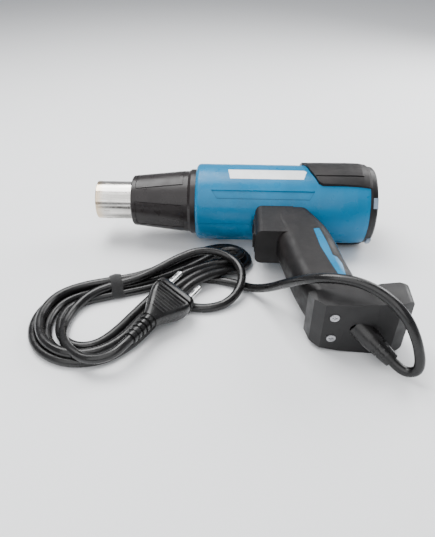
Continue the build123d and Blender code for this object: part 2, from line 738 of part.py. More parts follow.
# A loose loop that rides over the bundle, drops to the floor and runs back under the plug.
LOOP_ROUTE = [
    (-62.0, -80.0, 21.5), (-48.0, -67.0, 23.5), (-31.0, -58.5, 23.5), (-13.5, -56.5, 20.0),
    (0.5, -64.0, 16.0), (6.5, -78.0, 14.2), (4.5, -93.5, 9.0), (-5.0, -106.0, 4.5),
    (-20.0, -112.5, 3.6), (-37.0, -111.5, 3.6), (-52.0, -105.0, 3.6),
]
# From the plug down to the bundle.
TAIL_ROUTE = [
    (-79.0, -174.6, 15.6), (-88.0, -178.5, 13.2), (-99.5, -177.5, 11.6), (-109.0, -171.5, 11.0),
]
HANK_OUTLINE = [
    (13.0, -40.0), (2.0, -35.5), (-18.0, -40.0), (-57.0, -64.0), (-96.0, -79.0), (-128.0, -87.0),
    (-150.0, -111.0), (-152.0, -140.0), (-136.0, -171.0), (-109.0, -181.0), (-83.0, -174.0),
    (-64.0, -148.0), (-49.0, -112.0), (-34.0, -80.0), (-10.0, -58.0), (10.0, -49.0),
]
HANK_OPENING = (-107.0, -131.0, 22.0, 32.0, -20.0)
HANK_HEIGHT = 18.0
UNDER_PLUG_HEIGHT = 7.2

PLUG_CENTRE_Z = 17.5
PLUG_FACE = Vector(-44.0, -111.0, PLUG_CENTRE_Z)
PLUG_DIRECTION = Vector(0.46, 0.888, 0.0).normalized()
PLUG_ROLL = -24.0
# Each row is a level of the plug: distance behind the face, width, height, corner radius.
PLUG_LEVELS = [
    (0.0, 33.0, 15.0, 6.0), (5.0, 35.0, 17.0, 7.0), (16.0, 33.0, 17.5, 7.5),
    (28.0, 20.0, 15.0, 6.5), (36.0, 12.5, 12.0, 5.5),
]
PLUG_LENGTH = 36.0
RELIEF_LENGTH = 22.0
FIRST_RUN = 6.5
TIE_PLACE = (-96.0, -90.0)
TIE_ANGLE = 17.0
TIE_WIDTH = 9.0
TIE_THICK = 0.8


def plug_plane(distance):
    """A plane across the plug, some way behind its face."""
    roll = math.radians(PLUG_ROLL)
    across = Vector(PLUG_DIRECTION.Y, -PLUG_DIRECTION.X, 0) * math.cos(roll)
    return Plane(
        origin=PLUG_FACE - PLUG_DIRECTION * distance,
        x_dir=across + Vector(0, 0, math.sin(roll)),
        z_dir=PLUG_DIRECTION,
    )


def plug_body():
    """Moulded two-pole plug, wide at the face and drawn in to its neck."""
    body = loft([plug_plane(at) * RectangleRounded(w, h, r) for at, w, h, r in PLUG_LEVELS])
    for side in (1, -1):
        place = plug_plane(0) * Pos(side * PIN_SPACING / 2, 0, 0)
        body -= extrude(place * Circle(PIN_ROOT_R), -PIN_ROOT_LENGTH)
    return body


def plug_pins():
    """Two round pins with rounded tips, 19 mm apart."""
    pins = []
    for side in (1, -1):
        place = plug_plane(0) * Pos(side * PIN_SPACING / 2, 0, 0)
        pin = extrude(place * Circle(PLUG_PIN_R), PLUG_PIN_LENGTH)
        pin = fillet(pin.faces().sort_by(Axis(PLUG_FACE, PLUG_DIRECTION))[-1].edges(), 1.6)
        pins.append((pin + extrude(place * Circle(PIN_ROOT_R), -PIN_ROOT_LENGTH)).solid())
    return Compound(children=pins)


def plug_relief():
    """Bend relief behind the plug, tapered, with four rings."""
    taper = loft([
        plug_plane(PLUG_LENGTH) * Circle(5.6), plug_plane(PLUG_LENGTH + RELIEF_LENGTH) * Circle(4.6)
    ])
    for step in range(4):
        at = PLUG_LENGTH + 4 + 4.5 * step
        taper -= extrude(plug_plane(at) * (Circle(8) - Circle(4.2)), -2)
    return taper


def cord_tube(name, points):
    """A round tube along straight runs joined by tangent arcs; prints its radii and volume."""
    places = [Vector(*p) for p in points]
    runs = [(b - a).length for a, b in zip(places, places[1:])]
    radii = []
    for i in range(1, len(places) - 1):
        turn = (places[i] - places[i - 1]).get_angle(places[i + 1] - places[i])
        radii.append(0.45 * min(runs[i - 1], runs[i]) / math.tan(math.radians(turn / 2)))
    path = FilletPolyline(*places, radius=radii)
    tube = sweep(Plane(origin=path @ 0, z_dir=path % 0) * Circle(CORD_R), path=path)
    print(name, "length", round(path.length, 1), "radii", [round(r, 1) for r in radii])
    print(name, "volume", round(tube.volume), "section x length",
          round(math.pi * CORD_R ** 2 * path.length), "runs", [round(r, 1) for r in runs])
    return tube


def hank_tie_tool(grow):
    """Outer form of the tie around the hank's upper band."""
    return Pos(*TIE_PLACE, HANK_HEIGHT / 2) * Rot(0, 0, TIE_ANGLE) * Box(
        TIE_WIDTH + 2 * grow, 31, HANK_HEIGHT + 2 * grow
    )


def hank_tie_core():
    """The room inside the tie that the cord fills."""
    return Pos(*TIE_PLACE, HANK_HEIGHT / 2) * Rot(0, 0, TIE_ANGLE) * Box(
        TIE_WIDTH + 4, 31 - 2 * TIE_THICK, HANK_HEIGHT - 2 * TIE_THICK
    )


def cord_hank():
    """Closed outer form of the hank: a long loop, open at its wide end, lower under the plug."""
    outline = make_face(Spline(*[Vector(x, y, 0) for x, y in HANK_OUTLINE], periodic=True))
    x, y, half_w, half_h, turn = HANK_OPENING
    opening = Pos(x, y, 0) * Rot(0, 0, turn) * Ellipse(half_w, half_h)
    hank = extrude(outline - opening, HANK_HEIGHT)
    above_plug = Plane(
        origin=PLUG_FACE, x_dir=(PLUG_DIRECTION.Y, -PLUG_DIRECTION.X, 0), z_dir=(0, 0, 1)
    )
    room = above_plug * Pos(8, -18, 0) * Box(56, 110, 2 * (PLUG_CENTRE_Z - UNDER_PLUG_HEIGHT))
    return hank - room


def lay_down(shape):
    """Rolls the gun on to the floor: barrel's cover and heel touch it."""
    return Pos(0, 0, COVER_R) * Rot(LEAN, 0, 0) * shape


def on_floor(point):
    """Where a point of the gun's own frame comes to lie in the floor's frame."""
    y = point.Y * math.cos(math.radians(LEAN)) - point.Z * math.sin(math.radians(LEAN))
    z = point.Y * math.sin(math.radians(LEAN)) + point.Z * math.cos(math.radians(LEAN))
    return Vector(point.X, y, z + COVER_R)


def gun_nodes():
    """Every piece of the gun itself, in its own frame."""
    shell = housing()
    skin = grip_skin()
    straps = skin & prism_z(STRAP_OUTLINE, -30, 30)
    grips = skin - prism_z(STRAP_OUTLINE, -30, 30)
    return {
        "left_housing": half(shell, 1),
        "right_housing": half(shell, -1),
        "left_grip": half(grips, 1),
        "right_grip": half(grips, -1),
        "left_back_strap": half(straps, 1),
        "right_back_strap": half(straps, -1),
        "left_stripe": side_stripe(1),
        "right_stripe": side_stripe(-1),
        "handle_foot": foot(),
        "foot_screws": foot_screws(),
        "housing_screws": Compound(children=[housing_screw(x, y).solid() for x, y in SCREW_PLACES]),
        "rear_bumper": rear_bumper(),
        "rear_rim": rear_rim(),
        "rim_screws": rim_screws(),
        "rear_latch": rear_latch(),
        "intake_grille": intake_grille(),
        "intake_filter": intake_filter(),
        "nozzle_tube": nozzle_tube(),
        "heat_guard": heat_guard(),
        "nozzle_flange": nozzle_flange(),
        "mica_sleeve": mica_sleeve(),
        "heater_core": heater_core(),
        "heating_coils": heating_coils(),
        "heater_end_plate": heater_end_plate(),
        "heater_terminals": heater_terminals(),
        "thermal_cutout": thermal_cutout(),
        "air_duct": air_duct(),
        "motor_mount": motor_mount(),
        "motor_can": motor_can(),
        "motor_end_bell": motor_end_bell(),
        "motor_bearings": motor_bearings(),
        "motor_magnets": motor_magnets(),
        "motor_brushes": motor_brushes(),
        "motor_shaft": motor_shaft(),
        "rotor": rotor(),
        "commutator": commutator(),
        "fan_impeller": fan_impeller(),
        "diode_board": diode_board(),
        "diodes": diodes(),
        "capacitor": capacitor(),
        "switch_frame": switch_frame(),
        "rocker_pin": rocker_pin(),
        "switch_rocker": switch_rocker(),
        "switch_body": switch_body(),
        "switch_contact": switch_contact(),
        "switch_terminals": switch_terminals(),
        "cord_clamp": cord_clamp(),
        "clamp_screws": clamp_screws(),
        "live_wire": inner_wire(4.0, 57.0),
        "neutral_wire": inner_wire(-4.0, 57.0),
    }


def cord_nodes():
    """The sleeve, the cord and what is on it, in the floor's frame."""
    from_sleeve = [
        tuple(on_floor(SLEEVE_ROOT + SLEEVE_DIRECTION * (SLEEVE_LENGTH + ahead)))
        for ahead in (0.0, FIRST_RUN)
    ]
    from_plug = [
        tuple(PLUG_FACE - PLUG_DIRECTION * (PLUG_LENGTH + RELIEF_LENGTH + ahead))
        for ahead in (0.0, FIRST_RUN)
    ]
    print("cord starts", from_sleeve, "tail starts", from_plug)
    hank = cord_hank()
    return {
        "strain_relief": lay_down(strain_relief()),
        "power_cord": cord_tube("power_cord", from_sleeve + CORD_ROUTE),
        "cord_loop": cord_tube("cord_loop", LOOP_ROUTE),
        "cord_tail": cord_tube("cord_tail", from_plug + TAIL_ROUTE),
        "cord_hank": hank - (hank_tie_tool(0.0) - hank_tie_core()),
        "cord_tie": hank_tie_tool(0.0) - hank_tie_core(),
        "plug_body": plug_body(),
        "plug_pins": plug_pins(),
        "plug_relief": plug_relief(),
    }


def main():
    """Builds every node, sets the origin below the gun's middle and writes the files."""
    gun = {name: lay_down(shape) for name, shape in gun_nodes().items()}
    bounds = Compound(children=[Compound(s.solids()) for s in gun.values()]).bounding_box()
    shift = Pos(-bounds.center().X, -bounds.center().Y, -bounds.min.Z)
    print("lean", round(LEAN, 4), "shift", shift.position, "size", bounds.size)
    os.makedirs("parts", exist_ok=True)
    for name, shape in {**gun, **cord_nodes()}.items():
        placed = shift * shape
        export_step(placed, "parts/" + name + ".step")


main()
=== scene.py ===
"""Studio scene of a heat gun that lies on its right side, with its cord in a loose hank."""
import json
import logging
import math
from dataclasses import dataclass, field
from enum import Enum
from typing import Sequence

import bmesh
import bpy
from mathutils import Matrix, Vector


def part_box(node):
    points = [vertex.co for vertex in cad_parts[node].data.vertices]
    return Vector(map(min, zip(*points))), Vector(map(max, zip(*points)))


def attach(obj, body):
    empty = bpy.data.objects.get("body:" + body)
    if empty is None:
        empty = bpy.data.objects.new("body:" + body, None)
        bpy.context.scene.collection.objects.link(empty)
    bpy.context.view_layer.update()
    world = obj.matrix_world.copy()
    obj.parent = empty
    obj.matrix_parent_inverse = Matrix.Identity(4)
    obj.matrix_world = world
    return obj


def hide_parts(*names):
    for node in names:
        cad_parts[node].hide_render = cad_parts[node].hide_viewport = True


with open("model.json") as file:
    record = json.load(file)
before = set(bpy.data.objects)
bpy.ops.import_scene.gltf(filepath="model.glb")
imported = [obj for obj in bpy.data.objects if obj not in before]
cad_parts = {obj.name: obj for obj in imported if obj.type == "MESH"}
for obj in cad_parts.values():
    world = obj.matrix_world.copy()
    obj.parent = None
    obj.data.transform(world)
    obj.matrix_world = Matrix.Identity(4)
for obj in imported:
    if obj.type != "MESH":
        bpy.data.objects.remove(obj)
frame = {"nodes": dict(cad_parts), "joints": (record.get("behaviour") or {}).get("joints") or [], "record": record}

LOG = logging.getLogger("heat_gun")
MM = 0.001
RIDES_ON = "gun"
Point = tuple[float, float, float]
Colour = tuple[float, float, float]
Socket = bpy.types.NodeSocket


class Slot(Enum):
    """Finishes of the pieces that are made here, by their slot's name."""

    CORD = "cord_rubber"
    TIE = "tie_cloth"
    WINDINGS = "coil_wire"


class Side(Enum):
    """The flat sides of the plug; a side's value is its direction through the plug."""

    UPPER = 1
    LOWER = -1


# ---------------------------------------------------------------- places

class GunFrame:
    """Turns sizes on the gun and on the floor, in millimetres, into places in the shared frame.

    The gun's own frame has the barrel's axis as X, nozzle towards -X, handle towards -Y and the
    left side up. The floor's frame has the same X and a level floor at Z = 0.
    """

    NOZZLE_TIP_X = -126.0

    def __init__(self) -> None:
        """Reads the barrel's axis and the gun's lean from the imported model."""
        low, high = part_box("nozzle_tube")
        tip = next(j for j in frame["joints"] if j["name"] == "rocker_tip")
        self.lean = math.atan2(-tip["axis"][1], tip["axis"][2])
        self.axis = Vector((low.x - self.NOZZLE_TIP_X * MM, (low.y + high.y) / 2, (low.z + high.z) / 2))
        self.matrix = Matrix.Translation(self.axis) @ Matrix.Rotation(self.lean, 4, "X")

    def gun(self, x: float, y: float, z: float) -> Vector:
        """A place given in the gun's own frame."""
        return self.matrix @ (Vector((x, y, z)) * MM)

    def floor(self, x: float, y: float, z: float) -> Vector:
        """A place given above the floor."""
        return Vector((self.axis.x + x * MM, self.axis.y + y * MM, z * MM))

    def settle(self, mesh: bpy.types.Mesh) -> None:
        """Carries a mesh drawn in the gun's frame, in millimetres, to its place."""
        mesh.transform(self.matrix @ Matrix.Scale(MM, 4))


PLACE = GunFrame()


# ---------------------------------------------------------------- shader helper

def add_sum(tree: bpy.types.NodeTree, operation: str, values: Sequence[Socket | float]) -> Socket:
    """Adds a Math node.

    Args:
        tree: The tree that it goes in.
        operation: Blender's name for the sum.
        values: Its inputs in order, as numbers or sockets.

    Returns:
        The result's socket.
    """
    node = tree.nodes.new("ShaderNodeMath")
    node.operation = operation
    for value, target in zip(values, node.inputs):
        if isinstance(value, (int, float)):
            target.default_value = value
        else:
            tree.links.new(value, target)
    return node.outputs[0]


class Shader:
    """Adds nodes to one material and wires them."""

    MIX_COLOURS = slice(6, 8)
    MIX_RESULT = 2

    def __init__(self, name: str) -> None:
        """Starts an empty node tree with a Principled shader.

        Args:
            name: The material's name.
        """
        self.material = bpy.data.materials.new(name)
        self.material.use_nodes = True
        self.tree = self.material.node_tree
        self.tree.nodes.clear()
        self.output = self.tree.nodes.new("ShaderNodeOutputMaterial")
        self.skin = self.tree.nodes.new("ShaderNodeBsdfPrincipled")
        self.wire(self.skin.outputs["BSDF"], self.output.inputs["Surface"])
        self.place = self.tree.nodes.new("ShaderNodeTexCoord").outputs["Object"]

    def wire(self, source: Socket, target: Socket) -> None:
        """Links two sockets."""
        self.tree.links.new(source, target)

    def put(self, **values: object) -> None:
        """Sets plain values on the Principled shader, named with underscores for spaces."""
        for key, value in values.items():
            self.skin.inputs[key.replace("_", " ")].default_value = value

    def on_gun(self, scale: Point) -> Socket:
        """Coordinates in the gun's own frame, scaled.

        Args:
            scale: Scale along each of the gun's axes; 1 gives metres.

        Returns:
            The vector socket.
        """
        shift = self.tree.nodes.new("ShaderNodeVectorMath")
        shift.operation = "SUBTRACT"
        shift.inputs[1].default_value = PLACE.axis
        self.wire(self.place, shift.inputs[0])
        mapping = self.tree.nodes.new("ShaderNodeMapping")
        mapping.inputs["Rotation"].default_value = (-PLACE.lean, 0, 0)
        mapping.inputs["Scale"].default_value = scale
        self.wire(shift.outputs[0], mapping.inputs["Vector"])
        return mapping.outputs["Vector"]

    def split(self, vector: Socket) -> tuple[Socket, Socket, Socket]:
        """The X, Y and Z of a vector."""
        node = self.tree.nodes.new("ShaderNodeSeparateXYZ")
        self.wire(vector, node.inputs[0])
        return tuple(node.outputs)

    def noise(self, scale: float, detail: float = 3.0, vector: Socket | None = None) -> Socket:
        """Noise between 0 and 1.

        Args:
            scale: Features per metre, or per unit of the vector.
            detail: Octaves.
            vector: Where to read it; object coordinates when left out.

        Returns:
            The value socket.
        """
        node = self.tree.nodes.new("ShaderNodeTexNoise")
        node.inputs["Scale"].default_value = scale
        node.inputs["Detail"].default_value = detail
        self.wire(vector or self.place, node.inputs["Vector"])
        return node.outputs["Fac"]

    def cells(self, scale: float) -> Socket:
        """Distance to the nearest centre of cells, so many per metre."""
        node = self.tree.nodes.new("ShaderNodeTexVoronoi")
        node.inputs["Scale"].default_value = scale
        self.wire(self.place, node.inputs["Vector"])
        return node.outputs["Distance"]

    def spread(
        self, value: Socket, low: float, high: float, start: float = 0.3, end: float = 0.7
    ) -> Socket:
        """Maps a value from one span to another, smoothly and clamped.

        Args:
            value: The value.
            low: Result at the start of the span.
            high: Result at its end.
            start: Where the span starts.
            end: Where it ends.

        Returns:
            The mapped value's socket.
        """
        node = self.tree.nodes.new("ShaderNodeMapRange")
        node.interpolation_type = "SMOOTHSTEP"
        node.inputs["From Min"].default_value = start
        node.inputs["From Max"].default_value = end
        node.inputs["To Min"].default_value = low
        node.inputs["To Max"].default_value = high
        self.wire(value, node.inputs["Value"])
        return node.outputs["Result"]

    def blend(self, factor: Socket, under: Colour | Socket, over: Colour) -> Socket:
        """Lays one colour over another.

        Args:
            factor: How much of the upper colour shows, 0 to 1.
            under: The lower colour, plain or from a socket.
            over: The upper colour.

        Returns:
            The mixed colour's socket.
        """
        node = self.tree.nodes.new("ShaderNodeMix")
        node.data_type = "RGBA"
        lower, upper = node.inputs[self.MIX_COLOURS]
        if isinstance(under, tuple):
            lower.default_value = (*under, 1)
        else:
            self.wire(under, lower)
        upper.default_value = (*over, 1)
        self.wire(factor, node.inputs["Factor"])
        return node.outputs[self.MIX_RESULT]

    def math(self, operation: str, *values: Socket | float) -> Socket:
        """Works out one sum from sockets and numbers."""
        return add_sum(self.tree, operation, values)

    def relief(self, height: Socket, depth: float, strength: float = 1.0) -> Socket:
        """Turns a height into a bumped normal.

        Args:
            height: The height socket, 0 to 1.
            depth: Height of a full step, in metres.
            strength: How much of it shows.

        Returns:
            The normal socket.
        """
        node = self.tree.nodes.new("ShaderNodeBump")
        node.inputs["Distance"].default_value = depth
        node.inputs["Strength"].default_value = strength
        self.wire(height, node.inputs["Height"])
        return node.outputs["Normal"]

    def dress(self, **sockets: Socket) -> None:
        """Wires sockets to the Principled shader, named with underscores for spaces."""
        for key, socket in sockets.items():
            self.wire(socket, self.skin.inputs[key.replace("_", " ")])


def shade(colour: Colour, factor: float, lift: float = 0.0) -> Colour:
    """A colour made darker or lighter by a factor, and lifted a little."""
    return tuple(min(1.0, c * factor + lift) for c in colour)


# ---------------------------------------------------------------- finishes

@dataclass(frozen=True)
class Moulded:
    """Injection-moulded plastic: fine spark grain, faint flow marks, uneven gloss.

    Attributes:
        name: Material name.
        colour: Main colour, linear.
        roughness: Middle roughness.
        grain: Grain features per metre.
        grain_depth: Grain height in metres.
        gloss: Strength of the clear reflection.
    """

    name: str
    colour: Colour
    roughness: float = 0.42
    grain: float = 2400.0
    grain_depth: float = 0.00003
    gloss: float = 0.5

    def build(self) -> bpy.types.Material:
        """Makes the material."""
        shader = Shader(self.name)
        shader.put(Specular_IOR_Level=self.gloss)
        flow = shader.spread(shader.noise(28.0, 4.0), 0.0, 1.0)
        tone = shader.blend(flow, shade(self.colour, 0.86), shade(self.colour, 1.06, 0.002))
        rub = shader.noise(95.0, 6.0)
        shader.dress(
            Base_Color=self.shaded(shader, tone),
            Roughness=shader.spread(rub, self.roughness - 0.07, self.roughness + 0.1),
            Normal=shader.relief(shader.noise(self.grain, 2.0), self.grain_depth),
        )
        return shader.material

    def shaded(self, shader: Shader, tone: Socket) -> Socket:
        """The tone with painted shade over it; a plain moulding has none."""
        return tone


@dataclass(frozen=True)
class BarrelPlastic(Moulded):
    """The barrel's plastic, with painted shade along the lower and end edges of its long recess.

    Attributes:
        recess: Low X, high X, low Y and high Y of the recess on the gun, in mm.
        slants: How far the front and the rear end lean in for each mm down.
        half_line: Half the width of the painted shade, in mm.
        strength: How dark the painted shade is, 0 to 1.
    """

    recess: tuple[float, float, float, float] = (-22.0, 66.0, -26.6, -21.6)
    slants: tuple[float, float] = (1.0, 0.8)
    half_line: float = 0.38
    strength: float = 0.6

    def shaded(self, shader: Shader, tone: Socket) -> Socket:
        """Lays the recess's painted shade over the tone.

        Args:
            shader: The material's shader.
            tone: The plastic's own colour.

        Returns:
            The shaded colour.
        """
        along, up, _ = shader.split(shader.on_gun((1 / MM, 1 / MM, 1 / MM)))
        front, rear, low, high = self.recess
        deep = high - low
        low_front, low_rear = front + deep * self.slants[0], rear - deep * self.slants[1]
        drop = shader.math("SUBTRACT", high, up)
        at_front = shader.math("SUBTRACT", along, shader.math("MULTIPLY", drop, self.slants[0]))
        at_rear = shader.math("ADD", along, shader.math("MULTIPLY", drop, self.slants[1]))
        tall = shader.math("COMPARE", up, (low + high) / 2, deep / 2)
        long = shader.math("COMPARE", along, (low_front + low_rear) / 2, (low_rear - low_front) / 2)
        bottom = shader.math("MULTIPLY", shader.math("COMPARE", up, low, self.half_line), long)
        ends = [
            shader.math("MULTIPLY", shader.math("COMPARE", at, edge, self.half_line), tall)
            for at, edge in ((at_front, front), (at_rear, rear))
        ]
        lines = shader.math("MAXIMUM", shader.math("MAXIMUM", bottom, ends[0]), ends[1])
        # painted shade: a dark line where the recess's lower and end walls would fall in shadow
        return shader.blend(shader.math("MULTIPLY", lines, self.strength), tone, shade(self.colour, 0.12))


@dataclass(frozen=True)
class SoftTouch:
    """Elastomer overmould with a pebbled skin and dusty high spots.

    Attributes:
        name: Material name.
        colour: Main colour, linear.
        dust: Colour of the light film on worn places.
        roughness: Middle roughness.
        pebble: Pebbles per metre.
        pebble_depth: Pebble height in metres.
        gloss: Strength of the clear reflection.
    """

    name: str
    colour: Colour
    dust: Colour
    roughness: float = 0.5
    pebble: float = 1500.0
    pebble_depth: float = 0.00006
    gloss: float = 0.25

    def build(self) -> bpy.types.Material:
        """Makes the material."""
        shader = Shader(self.name)
        shader.put(Specular_IOR_Level=self.gloss)
        film = shader.spread(shader.noise(45.0, 6.0), 0.0, 0.55, 0.42, 0.75)
        rub = shader.noise(120.0, 4.0)
        shader.dress(
            Base_Color=shader.blend(film, self.colour, self.dust),
            Roughness=shader.spread(rub, self.roughness - 0.08, self.roughness + 0.12),
            Normal=shader.relief(shader.cells(self.pebble), self.pebble_depth, 0.7),
        )
        return shader.material


@dataclass(frozen=True)
class TurnedSteel:
    """Bright steel with fine turning lines about the barrel's axis, painted reflection streaks along the tube and
    heat colour at its mouth.

    Attributes:
        name: Material name.
        colour: Clean metal colour.
        tint: Colour of the heated end.
        tint_from: X, on the gun, where the heat colour is full, in mm.
        tint_to: X where it has faded, in mm.
        roughness: Middle roughness.
        lines: Turning lines per metre.
        reflection_bands: Painted reflection bands, dark streaks along the tube, per metre across it.
    """

    name: str
    colour: Colour
    tint: Colour
    tint_from: float
    tint_to: float
    roughness: float = 0.16
    lines: float = 3400.0
    reflection_bands: float = 190.0

    def build(self) -> bpy.types.Material:
        """Makes the material."""
        shader = Shader(self.name)
        shader.put(Metallic=1.0)
        brush = shader.noise(self.lines, 3.0, shader.on_gun((1, 0.02, 0.02)))
        drawn = shader.noise(self.reflection_bands, 3.0, shader.on_gun((0.04, 1, 1)))
        along, _, _ = shader.split(shader.place)
        heated, clean = PLACE.gun(self.tint_from, 0, 0).x, PLACE.gun(self.tint_to, 0, 0).x
        heat = shader.spread(along, 1.0, 0.0, heated, clean)
        patches = shader.spread(shader.noise(70.0, 5.0), 0.3, 1.0)
        # painted reflection: darker streaks along the tube, in the base colour, stand in for reflected bands of
        # light
        painted_reflection = shader.math("MULTIPLY", patches, shader.spread(drawn, 0.0, 1.0, 0.4, 0.6))
        metal = shader.blend(painted_reflection, shade(self.colour, 0.55), self.colour)
        shader.dress(
            Base_Color=shader.blend(heat, metal, self.tint),
            Roughness=shader.spread(brush, self.roughness - 0.06, self.roughness + 0.12),
            Normal=shader.relief(brush, 0.000002, 0.5),
        )
        return shader.material


@dataclass(frozen=True)
class PlainMetal:
    """Plated or drawn metal for screws, tabs, the motor and the plug's pins.

    Attributes:
        name: Material name.
        colour: Metal colour.
        roughness: Middle roughness.
        scratch: Scratches per metre.
    """

    name: str
    colour: Colour
    roughness: float = 0.3
    scratch: float = 900.0

    def build(self) -> bpy.types.Material:
        """Makes the material."""
        shader = Shader(self.name)
        shader.put(Metallic=1.0)
        worn = shader.noise(260.0, 5.0)
        shader.dress(
            Base_Color=shader.blend(shader.spread(worn, 0.0, 1.0), shade(self.colour, 0.7), self.colour),
            Roughness=shader.spread(worn, self.roughness - 0.08, self.roughness + 0.12),
            Normal=shader.relief(shader.noise(self.scratch, 6.0), 0.00001, 0.6),
        )
        return shader.material


@dataclass(frozen=True)
class Fired:
    """Ceramic, mica or pressed board: dry, speckled, slightly rough.

    Attributes:
        name: Material name.
        colour: Main colour.
        speck: Colour of the specks.
        roughness: Roughness.
        speck_scale: Specks per metre.
    """

    name: str
    colour: Colour
    speck: Colour
    roughness: float = 0.75
    speck_scale: float = 1400.0

    def build(self) -> bpy.types.Material:
        """Makes the material."""
        shader = Shader(self.name)
        shader.put(Roughness=self.roughness)
        specks = shader.spread(shader.noise(self.speck_scale, 3.0), 0.0, 1.0, 0.52, 0.72)
        shader.dress(
            Base_Color=shader.blend(specks, self.colour, self.speck),
            Normal=shader.relief(shader.noise(700.0, 5.0), 0.00004, 0.8),
        )
        return shader.material


@dataclass(frozen=True)
class Woven:
    """Cloth or mesh with crossing threads.

    Attributes:
        name: Material name.
        colour: Thread colour.
        gap: Colour between threads.
        pitch: Threads per metre.
    """

    name: str
    colour: Colour
    gap: Colour
    pitch: float = 1400.0

    def build(self) -> bpy.types.Material:
        """Makes the material."""
        shader = Shader(self.name)
        shader.put(Roughness=0.85, Sheen_Weight=0.3)
        thread = shader.cells(self.pitch)
        shader.dress(
            Base_Color=shader.blend(shader.spread(thread, 1.0, 0.0, 0.2, 0.6), self.gap, self.colour),
            Normal=shader.relief(thread, 0.0001, 0.8),
        )
        return shader.material


Finish = Moulded | SoftTouch | TurnedSteel | PlainMetal | Fired | Woven


class Finishes:
    """Every finish of the gun, built once each and handed out by slot name."""

    RECIPES: tuple[Finish, ...] = (
        BarrelPlastic("housing_plastic", (0.0, 0.16, 0.33), 0.3, gloss=0.25, grain_depth=0.000012),
        SoftTouch("grip_rubber", (0.007, 0.0062, 0.0064), (0.022, 0.0185, 0.018)),
        Moulded("black_plastic", (0.0065, 0.006, 0.0065), 0.4, gloss=0.3, grain_depth=0.000015),
        Moulded("guard_plastic", (0.012, 0.0092, 0.0094), 0.32, gloss=0.32, grain_depth=0.000012),
        TurnedSteel("nozzle_steel", (0.83, 0.81, 0.77), (0.62, 0.5, 0.36), -126.0, -117.0),
        PlainMetal("screw_steel", (0.48, 0.48, 0.5), 0.34),
        Moulded("stripe_white", (0.86, 0.9, 0.91), 0.3, grain_depth=0.00001),
        Fired("mica", (0.5, 0.42, 0.26), (0.32, 0.25, 0.13), 0.5),
        Fired("ceramic", (0.8, 0.76, 0.68), (0.55, 0.48, 0.38)),
        PlainMetal("coil_wire", (0.24, 0.19, 0.17), 0.5),
        PlainMetal("brass", (0.78, 0.56, 0.22), 0.28),
        Moulded("duct_plastic", (0.05, 0.05, 0.055), 0.5),
        PlainMetal("motor_steel", (0.56, 0.56, 0.57), 0.32),
        Fired("magnet", (0.05, 0.05, 0.055), (0.09, 0.09, 0.095)),
        Fired("carbon", (0.02, 0.02, 0.02), (0.06, 0.06, 0.06)),
        PlainMetal("copper", (0.8, 0.4, 0.25), 0.3),
        Fired("board", (0.25, 0.16, 0.06), (0.18, 0.11, 0.04), 0.5),
        Woven("filter_mesh", (0.05, 0.05, 0.055), (0.004, 0.004, 0.004)),
        SoftTouch(
            "cord_rubber", (0.005, 0.0048, 0.005), (0.012, 0.011, 0.0108), 0.27,
            pebble=900.0, pebble_depth=0.000012, gloss=0.42,
        ),
        Moulded("wire_brown", (0.12, 0.04, 0.015), 0.35),
        Moulded("wire_blue", (0.02, 0.09, 0.35), 0.35),
        PlainMetal("plug_steel", (0.86, 0.86, 0.86), 0.2),
        Woven("tie_cloth", (0.014, 0.014, 0.015), (0.004, 0.004, 0.004)),
        Moulded("latch_plastic", (0.2, 0.26, 0.34), 0.4),
    )

    def __init__(self) -> None:
        """Lists the recipes by name; none is built yet."""
        self.recipes = {recipe.name: recipe for recipe in self.RECIPES}
        self.built: dict[str, bpy.types.Material] = {}

    def get(self, slot: str) -> bpy.types.Material:
        """The material for a slot, built on first use."""
        if slot not in self.built:
            self.built[slot] = self.recipes[slot].build()
        return self.built[slot]


FINISHES = Finishes()


def dress_cad() -> None:
    """Gives every CAD node the finish of its slot."""
    for part in frame["record"]["subparts"]:
        node = frame["nodes"][part["node"]]
        node.data.materials.clear()
        node.data.materials.append(FINISHES.get(part["material_slot"]))


# ---------------------------------------------------------------- cord

def link(name: str, data: bpy.types.ID) -> bpy.types.Object:
    """Makes an object at the origin and links it to the scene."""
    thing = bpy.data.objects.new(name, data)
    bpy.context.scene.collection.objects.link(thing)
    return thing


